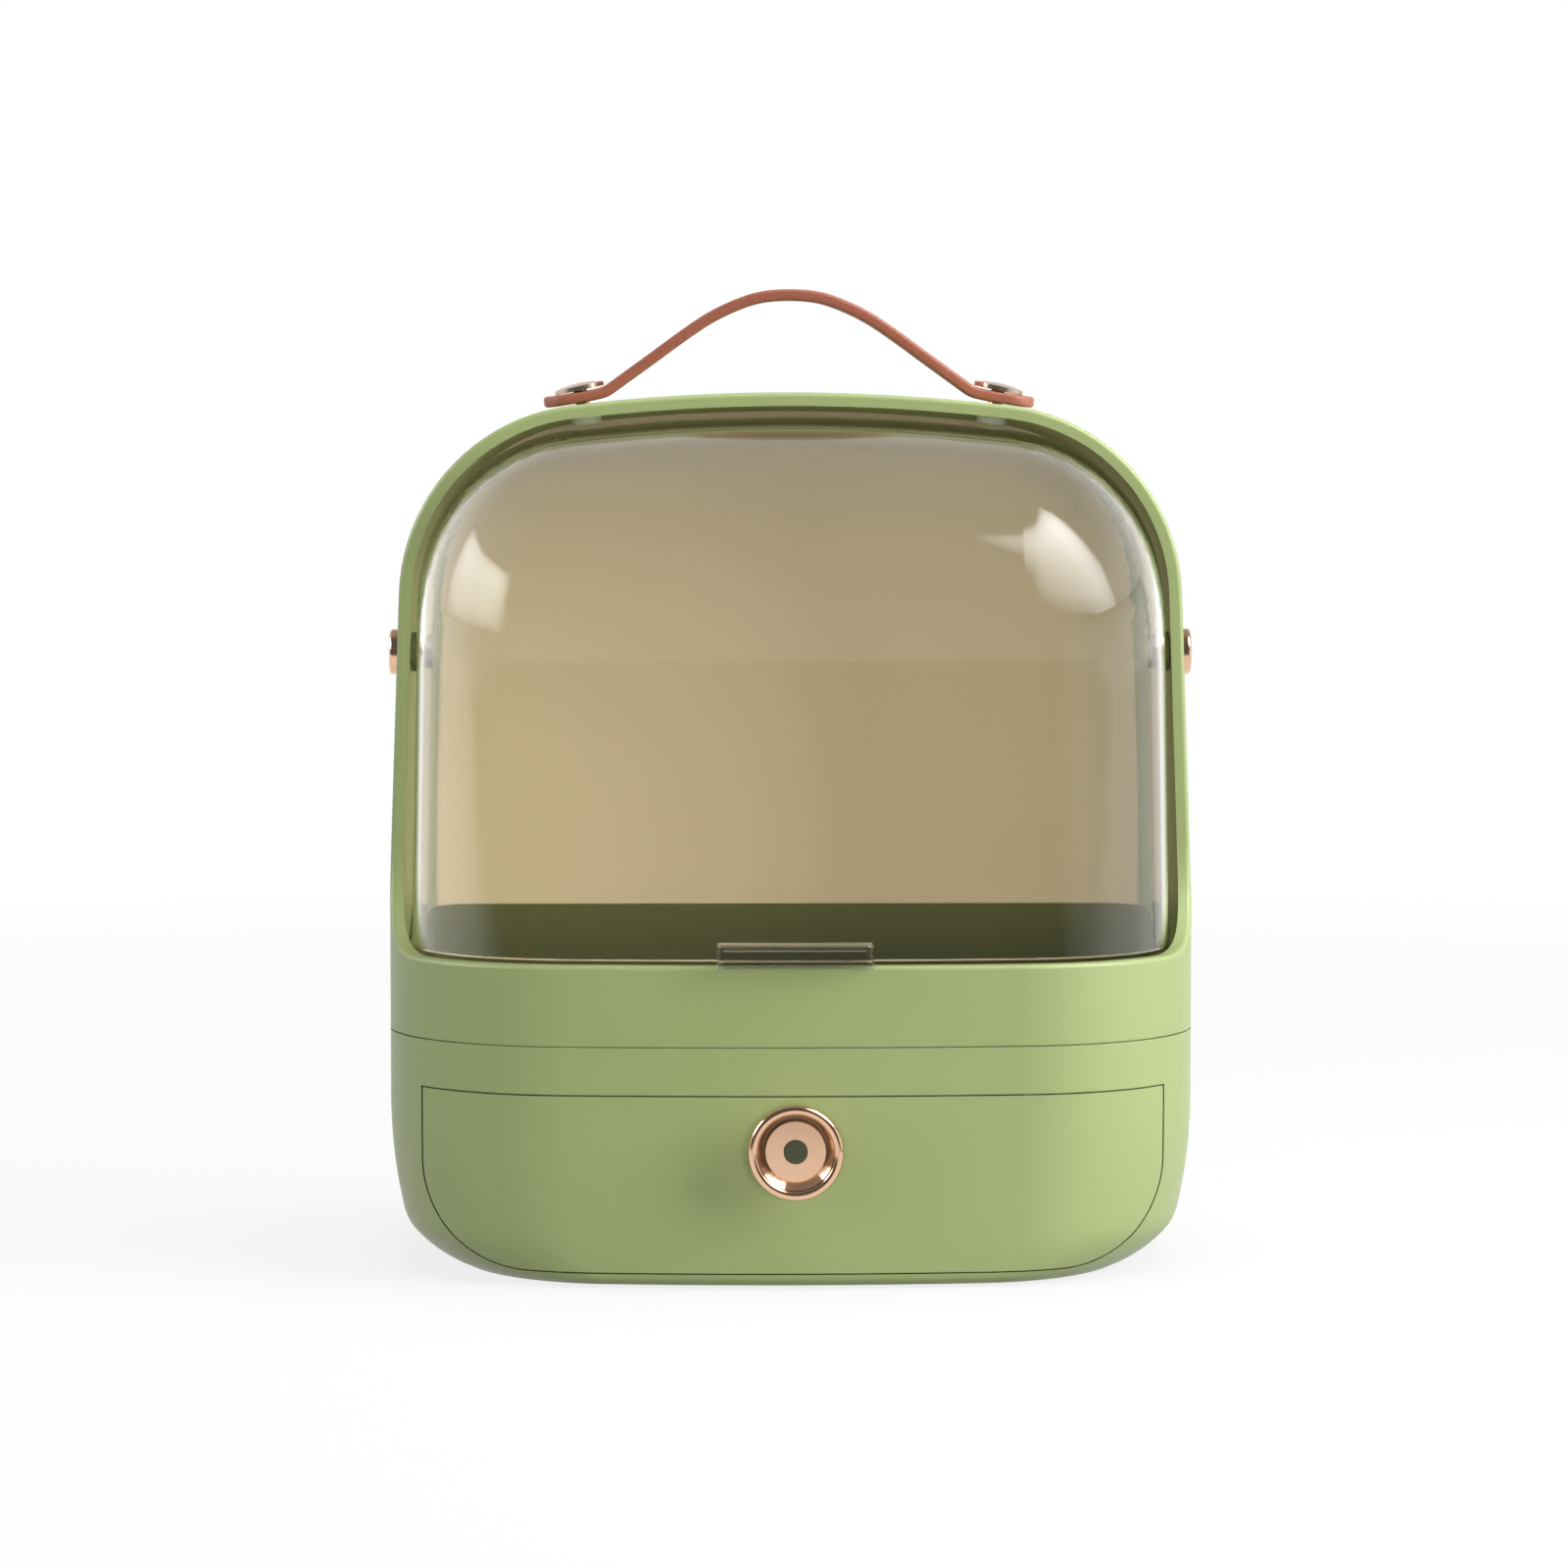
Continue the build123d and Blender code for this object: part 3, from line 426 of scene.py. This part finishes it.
class CaseColours(bpy.types.PropertyGroup):
    """Colours of the case's finishes."""

    shell: FloatVectorProperty(
        name="Shell", description="Green of the mouldings", subtype="COLOR", size=3,
        min=0, max=1, default=shade(148, 161, 107))
    # The inner tray's darker green is painted shade of the deep compartment, not a colour of its own.
    tray: FloatVectorProperty(
        name="Tray", description="Green of the inner tray", subtype="COLOR", size=3,
        min=0, max=1, default=shade(96, 100, 58))
    liner: FloatVectorProperty(
        name="Liner", description="Tan of the back wall's liner", subtype="COLOR", size=3,
        min=0, max=1, default=shade(228, 211, 174))
    lid: FloatVectorProperty(
        name="Lid", description="Tint of the lid's wall", subtype="COLOR", size=3,
        min=0, max=1, default=(0.97, 0.94, 0.88))
    # The pull's grey tint is painted shade: it darkens the clear pull like the shade seen through it.
    pull: FloatVectorProperty(
        name="Pull", description="Tint of the lid's pull", subtype="COLOR", size=3,
        min=0, max=1, default=(0.80, 0.80, 0.78))
    rose: FloatVectorProperty(
        name="Rose metal", description="Plating of knob and hinge caps", subtype="COLOR", size=3,
        min=0, max=1, default=shade(232, 190, 158))
    rivet: FloatVectorProperty(
        name="Rivets", description="Plating of the strap's rivets", subtype="COLOR", size=3,
        min=0, max=1, default=shade(206, 180, 160))
    strap: FloatVectorProperty(
        name="Strap", description="Leather of the strap", subtype="COLOR", size=3,
        min=0, max=1, default=shade(151, 90, 71))
    # The plug's dark colour is painted reflection of the dark front at the middle of the knob's dish.
    plug: FloatVectorProperty(
        name="Plug", description="Plug in the knob", subtype="COLOR", size=3,
        min=0, max=1, default=shade(66, 70, 52))
    steel: FloatVectorProperty(
        name="Steel", description="Screws and washers", subtype="COLOR", size=3,
        min=0, max=1, default=shade(176, 176, 172))
    rubber: FloatVectorProperty(
        name="Feet", description="Rubber of the feet", subtype="COLOR", size=3,
        min=0, max=1, default=shade(48, 50, 42))


class StrapSizes(bpy.types.PropertyGroup):
    """Sizes of the carrying strap."""

    width: FloatProperty(
        name="Width", description="Width of the leather", unit="LENGTH", default=0.0198)
    thickness: FloatProperty(
        name="Thickness", description="Thickness at the middle", unit="LENGTH", default=0.0040)
    end_thickness: FloatProperty(
        name="End thickness", description="Thickness at the ends", unit="LENGTH", default=0.0038)
    end_round: FloatProperty(
        name="End rounding", description="Rounding of the ends in plan", unit="LENGTH", default=0.0092)
    box_low: FloatProperty(
        name="Front edge", description="Front edge of the strap", unit="LENGTH",
        default=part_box("handle_strap")[0].y)
    box_high: FloatProperty(
        name="Rear edge", description="Rear edge of the strap", unit="LENGTH",
        default=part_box("handle_strap")[1].y)


class StudioLevels(bpy.types.PropertyGroup):
    """Lamps and backdrop of the studio."""

    right: FloatProperty(
        name="Right lamp", description="Large soft lamp on the right", unit="POWER", default=34.0)
    left: FloatProperty(
        name="Left lamp", description="Soft lamp on the left", unit="POWER", default=6.0)
    top: FloatProperty(
        name="Top lamp", description="Soft lamp above", unit="POWER", default=20.0)
    front: FloatProperty(
        name="Front lamp", description="Soft lamp by the camera", unit="POWER", default=23.0)
    ambient: FloatProperty(
        name="Ambient", description="Strength of the surroundings' light", default=0.17)
    behind: FloatProperty(
        name="Behind the camera", description="Strength of what gloss mirrors from the front",
        default=0.12)
    box_right: FloatProperty(
        name="Right soft box", description="Brightness of the highlight on the right", default=24.0)
    box_side: FloatProperty(
        name="Side soft box", description="Brightness of the sheen on the right side", default=1.7)
    box_left: FloatProperty(
        name="Left soft box", description="Brightness of the highlight on the left", default=13.0)
    backdrop: FloatProperty(
        name="Backdrop", description="Brightness of the white backdrop as seen", default=1.0)


class CASE_OT_mouldings(bpy.types.Operator):
    """Give the outer mouldings their satin green plastic"""

    bl_idname = "case.mouldings"
    bl_label = "Green mouldings"

    def execute(self, context):
        colours = context.scene.case_colours
        plastic = moulded_plastic("green_plastic", colours.shell, 0.40)
        for node in ("upper_shell", "base_shell", "drawer_front", "drawer_tray"):
            dress(node, plastic)
        return {"FINISHED"}


class CASE_OT_inner_tray(bpy.types.Operator):
    """Give the inner tray and hinge washers a darker plastic; on the tray this darker green is painted
    shade of the deep compartment
    """

    bl_idname = "case.inner_tray"
    bl_label = "Inner tray"

    def execute(self, context):
        # Darker green: painted shade of the deep compartment on the tray; the hinge washers share it.
        plastic = moulded_plastic("tray_plastic", context.scene.case_colours.tray, 0.48)
        for node in ("compartment_tray", "pivot_washer_left", "pivot_washer_right"):
            dress(node, plastic)
        return {"FINISHED"}


class CASE_OT_back_liner(bpy.types.Operator):
    """Give the liner of the back wall its tan plastic"""

    bl_idname = "case.back_liner"
    bl_label = "Back liner"

    def execute(self, context):
        dress("back_liner", moulded_plastic("liner_plastic", context.scene.case_colours.liner, 0.55))
        return {"FINISHED"}


class CASE_OT_lid(bpy.types.Operator):
    """Give the lid its faintly tinted clear plastic"""

    bl_idname = "case.lid"
    bl_label = "Lid"

    def execute(self, context):
        tint = context.scene.case_colours.lid
        dress("lid_shell", clear_plastic("lid_clear", tint, (0.98, 0.97, 0.95), 0.02))
        return {"FINISHED"}


class CASE_OT_pull(bpy.types.Operator):
    """Give the lid's pull its clear plastic, greyed as painted shade of what shows through it"""

    bl_idname = "case.pull"
    bl_label = "Lid pull"

    def execute(self, context):
        tint = context.scene.case_colours.pull
        # The grey tint of the pull is painted shade of what shows through it.
        dress("lid_pull", clear_plastic("clear", tint, (0.93, 0.93, 0.92), 0.02))
        return {"FINISHED"}


class CASE_OT_hinges(bpy.types.Operator):
    """Give the hinge caps and the knob their rose plating"""

    bl_idname = "case.hinges"
    bl_label = "Hinge caps and knob"

    def execute(self, context):
        plating = plated_metal("rose_metal", context.scene.case_colours.rose, 0.10)
        for node in ("pivot_cap_left", "pivot_cap_right", "knob"):
            dress(node, plating)
        return {"FINISHED"}


class CASE_OT_plug(bpy.types.Operator):
    """Give the knob's plug a dark plastic, which is painted reflection of the dark front at the middle of
    the knob's dish
    """

    bl_idname = "case.plug"
    bl_label = "Knob plug"

    def execute(self, context):
        # Dark plug colour: painted reflection at the middle of the knob's dish.
        dress("knob_plug", moulded_plastic("plug_plastic", context.scene.case_colours.plug, 0.45))
        return {"FINISHED"}


class CASE_OT_screws(bpy.types.Operator):
    """Give screws and washers their steel"""

    bl_idname = "case.screws"
    bl_label = "Screws"

    def execute(self, context):
        steel = turned_steel("screw_steel", context.scene.case_colours.steel)
        for node in ("shell_screws", "front_screws", "knob_screw", "knob_washer"):
            dress(node, steel)
        for side in ("left", "right"):
            dress(f"pivot_screw_{side}", steel)
        return {"FINISHED"}


class CASE_OT_feet(bpy.types.Operator):
    """Give the feet their rubber"""

    bl_idname = "case.feet"
    bl_label = "Feet"

    def execute(self, context):
        rubber = pad_rubber("foot_rubber", context.scene.case_colours.rubber)
        for node in sorted(NODES):
            if node.startswith("foot_"):
                dress(node, rubber)
        return {"FINISHED"}


class CASE_OT_strap(bpy.types.Operator):
    """Make the leather strap in place of its plain solid"""

    bl_idname = "case.strap"
    bl_label = "Leather strap"

    def execute(self, context):
        sizes = context.scene.case_strap
        strap = mesh_object("leather_strap", lambda form: build_strap(form, sizes))
        middle_y = (sizes.box_low + sizes.box_high) / 2
        leather = strap_leather(
            "strap_leather", context.scene.case_colours.strap, middle_y, sizes.width / 2)
        strap.data.materials.append(leather)
        for polygon in strap.data.polygons:
            polygon.use_smooth = True
        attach(strap, "case")
        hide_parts("handle_strap")
        return {"FINISHED"}


class CASE_OT_rivets(bpy.types.Operator):
    """Give the strap's rivets their plating and their closing rings the mouldings' plastic"""

    bl_idname = "case.rivets"
    bl_label = "Strap rivets"

    def execute(self, context):
        plating = plated_metal("rivet_metal", context.scene.case_colours.rivet, 0.25)
        for side in ("left", "right"):
            dress(f"strap_rivet_{side}", plating)
            dress(f"strap_burr_{side}", bpy.data.materials["green_plastic"])
        return {"FINISHED"}


LAMP_TARGET = (0.0, 0.0, 0.2)
CAMERA_PLACE = (-0.0415, -2.1394, 0.3135)
CAMERA_DROP = 3.84
CAMERA_TURN = 1.05
SENSOR_WIDTH = 36.0
FOCAL_PIXELS = 6100.0
PICTURE_PIXELS = 1600.0


def area_lamp(name, place, size, power):
    """Rectangular soft lamp aimed at the case, seen neither in gloss nor through clear parts."""
    data = bpy.data.lights.new(name, "AREA")
    data.shape = "RECTANGLE"
    data.size, data.size_y = size
    data.energy = power
    lamp = bpy.data.objects.new(name, data)
    bpy.context.scene.collection.objects.link(lamp)
    lamp.location = place
    aim = Vector(LAMP_TARGET) - Vector(place)
    lamp.rotation_euler = aim.to_track_quat("-Z", "Y").to_euler()
    lamp.visible_glossy = False
    lamp.visible_transmission = False


def seen_directly(recipe):
    """1 for rays that look at the surroundings from the camera, off gloss or through clear parts."""
    path = "ShaderNodeLightPath"
    camera = recipe.node(path, output="Is Camera Ray")
    gloss = recipe.node(path, output="Is Glossy Ray")
    through = recipe.node(path, output="Is Transmission Ray")
    return recipe.maths("MAXIMUM", recipe.maths("MAXIMUM", camera, gloss), through)


def floor_material(brightness, behind):
    """Pale floor that reads white but keeps the case's shadow, and mirrors dark far in front."""
    material, r = new_recipe("studio_floor")
    mottle = r.noise(3.0, detail=2.0)
    pale = r.mix(mottle, (0.66, 0.66, 0.66), (0.68, 0.68, 0.68))
    bounced = r.node("ShaderNodeLightPath", output="Is Diffuse Ray")
    paper = r.surface({
        "Base Color": r.mix(bounced, pale, (0.05, 0.05, 0.05)),
        "Roughness": 0.85,
        "Specular IOR Level": 0.1,
    })
    gloss = r.node("ShaderNodeLightPath", output="Is Glossy Ray")
    far = r.ramp(r.axis("Y") * -0.5, [(0.0, 0.0), (0.22, 0.0), (0.45, 1.0), (1.0, 1.0)])
    tone = r.mix(gloss * far, (1.0, 1.0, 1.0), (behind, behind, behind))
    glow = r.node("ShaderNodeEmission", None, {"Color": tone, "Strength": brightness})
    reach = r.node("ShaderNodeVectorMath", {"operation": "LENGTH"}, {0: r.places()}, output="Value")
    plain = r.ramp(reach / 2.0, [(0.0, 0.80), (0.25, 0.86), (0.8, 1.0), (1.0, 1.0)])
    factor = r.maths("MAXIMUM", seen_directly(r) * plain, gloss * 0.92)
    r.finish(r.node("ShaderNodeMixShader", None, {0: factor, 1: paper, 2: glow}))
    return material


def softbox_material(name, strength):
    """Light of a soft box, as bright as its mesh says from point to point."""
    material, r = new_recipe(name)
    glow = r.node("ShaderNodeAttribute", {"attribute_name": "glow"}, output="Color")
    r.finish(r.node("ShaderNodeEmission", None, {"Color": glow, "Strength": strength}))
    return material


def softbox(name, corners, glows, strength, reach=1.3, steps=16):
    """Patch of sky seen only in gloss, between four headings from the lid's middle.

    Corners are (turn, rise) in degrees, turn from the front towards the right: lower left,
    lower right, upper right, upper left. Glows are the brightness there.
    """
    middle = Vector((0.0, -0.02, 0.22))

    def blend(values, u, v):
        low = values[0] * (1 - u) + values[1] * u
        high = values[3] * (1 - u) + values[2] * u
        return low * (1 - v) + high * v

    def build(form):
        layer = form.verts.layers.float_color.new("glow")
        rows = []
        for j in range(steps + 1):
            row = []
            for i in range(steps + 1):
                u, v = i / steps, j / steps
                turn = math.radians(blend([c[0] for c in corners], u, v))
                rise = math.radians(blend([c[1] for c in corners], u, v))
                heading = Vector((
                    math.sin(turn) * math.cos(rise), -math.cos(turn) * math.cos(rise), math.sin(rise)))
                vert = form.verts.new(middle + reach * heading)
                edge = min(1.0, 6.0 * u * (1 - u)) * min(1.0, 6.0 * v * (1 - v))
                level = blend(glows, u, v) * edge**0.5
                vert[layer] = (level, level, level, 1.0)
                row.append(vert)
            rows.append(row)
        for low, high in zip(rows, rows[1:]):
            for i in range(steps):
                form.faces.new((low[i], low[i + 1], high[i + 1], high[i]))

    box = mesh_object(name, build)
    box.data.materials.append(softbox_material(name, strength))
    box.visible_camera = False
    box.visible_diffuse = False
    box.visible_transmission = False
    box.visible_shadow = False


class CASE_OT_studio(bpy.types.Operator):
    """Set the floor, the surroundings, the lamps and the camera"""

    bl_idname = "case.studio"
    bl_label = "Studio"

    def execute(self, context):
        levels = context.scene.case_studio
        self.make_floor(levels)
        self.make_surroundings(context, levels)
        self.make_lamps(levels)
        self.make_camera(context)
        return {"FINISHED"}

    def make_floor(self, levels):
        def build(form):
            bmesh.ops.create_grid(form, x_segments=12, y_segments=12, size=6.0)

        floor = mesh_object("floor", build)
        floor.data.materials.append(floor_material(levels.backdrop, levels.behind))

    def make_surroundings(self, context, levels):
        world = bpy.data.worlds.new("studio")
        context.scene.world = world
        world.use_nodes = True
        r = Recipe(world.node_tree)
        path = "ShaderNodeLightPath"
        gloss = r.node(path, output="Is Glossy Ray")
        direct = r.maths("MAXIMUM", r.node(path, output="Is Camera Ray"),
                         r.node(path, output="Is Transmission Ray"))
        heading = r.node("ShaderNodeTexCoord", output="Generated")
        depth = r.node("ShaderNodeSeparateXYZ", None, {"Vector": heading}, output=1)
        height = r.node("ShaderNodeSeparateXYZ", None, {"Vector": heading}, output=2)
        share = r.ramp(depth * 0.5 + 0.5, [(0.0, 0.0), (0.30, 0.0), (0.58, 1.0), (1.0, 1.0)])
        share = share * r.ramp(height, [(0.0, 1.0), (0.35, 1.0), (0.72, 0.35), (1.0, 0.30)])
        mirrored = share * (levels.backdrop - levels.behind) + levels.behind
        strength = levels.ambient + direct * (levels.backdrop - levels.ambient)
        strength = strength + gloss * (mirrored - levels.ambient)
        glow = r.node("ShaderNodeBackground", None, {"Color": (1.0, 1.0, 1.0), "Strength": strength})
        r.finish(glow, "ShaderNodeOutputWorld")

    def make_lamps(self, levels):
        area_lamp("lamp_right", (1.32, -0.45, 0.68), (1.1, 1.1), levels.right)
        area_lamp("lamp_left", (-1.25, -0.60, 0.60), (0.9, 0.9), levels.left)
        area_lamp("lamp_top", (0.1, 0.1, 1.6), (1.2, 1.0), levels.top)
        area_lamp("lamp_front", (0.05, -2.3, 0.25), (0.9, 0.45), levels.front)
        right = [(31, 23), (92, 7), (84, 66), (27, 60)]
        softbox("softbox_right", right, [0.0, 0.25, 0.9, 0.35], levels.box_right)
        side = [(42, -21), (118, -21), (118, 14), (42, 14)]
        softbox("softbox_side", side, [0.5, 1.0, 0.8, 0.3], levels.box_side, reach=0.62)
        left = [(-112, 8), (-57, 8), (-62, 34), (-118, 34)]
        softbox("softbox_left", left, [0.2, 0.3, 0.9, 0.6], levels.box_left, steps=12)

    def make_camera(self, context):
        data = bpy.data.cameras.new("camera")
        data.sensor_width = SENSOR_WIDTH
        data.lens = FOCAL_PIXELS * SENSOR_WIDTH / PICTURE_PIXELS
        data.clip_start = 0.1
        data.clip_end = 50.0
        camera = bpy.data.objects.new("camera", data)
        context.scene.collection.objects.link(camera)
        camera.location = CAMERA_PLACE
        camera.rotation_euler = (math.radians(90.0 - CAMERA_DROP), 0.0, math.radians(-CAMERA_TURN))
        context.scene.camera = camera
        context.scene.view_settings.view_transform = "Standard"


class CASE_PT_panel(bpy.types.Panel):
    """Steps and settings of the case"""

    bl_idname = "CASE_PT_panel"
    bl_label = "Cosmetic case"
    bl_space_type = "VIEW_3D"
    bl_region_type = "UI"
    bl_category = "Case"

    def draw(self, context):
        layout = self.layout
        for step in STEPS:
            layout.operator(step.bl_idname)
        for group in (context.scene.case_colours, context.scene.case_strap, context.scene.case_studio):
            box = layout.box()
            for name in group.__annotations__:
                box.prop(group, name)


GROUPS = (CaseColours, StrapSizes, StudioLevels)
STEPS = (
    CASE_OT_mouldings,
    CASE_OT_inner_tray,
    CASE_OT_back_liner,
    CASE_OT_lid,
    CASE_OT_pull,
    CASE_OT_hinges,
    CASE_OT_plug,
    CASE_OT_screws,
    CASE_OT_feet,
    CASE_OT_strap,
    CASE_OT_rivets,
    CASE_OT_studio,
)


def register():
    for item in (*GROUPS, *STEPS, CASE_PT_panel):
        bpy.utils.register_class(item)
    bpy.types.Scene.case_colours = PointerProperty(type=CaseColours)
    bpy.types.Scene.case_strap = PointerProperty(type=StrapSizes)
    bpy.types.Scene.case_studio = PointerProperty(type=StudioLevels)


def unregister():
    del bpy.types.Scene.case_studio
    del bpy.types.Scene.case_strap
    del bpy.types.Scene.case_colours
    for item in reversed((*GROUPS, *STEPS, CASE_PT_panel)):
        bpy.utils.unregister_class(item)


def main():
    register()
    for step in STEPS:
        group, name = step.bl_idname.split(".")
        getattr(getattr(bpy.ops, group), name)()


if __name__ == "__main__":
    main()
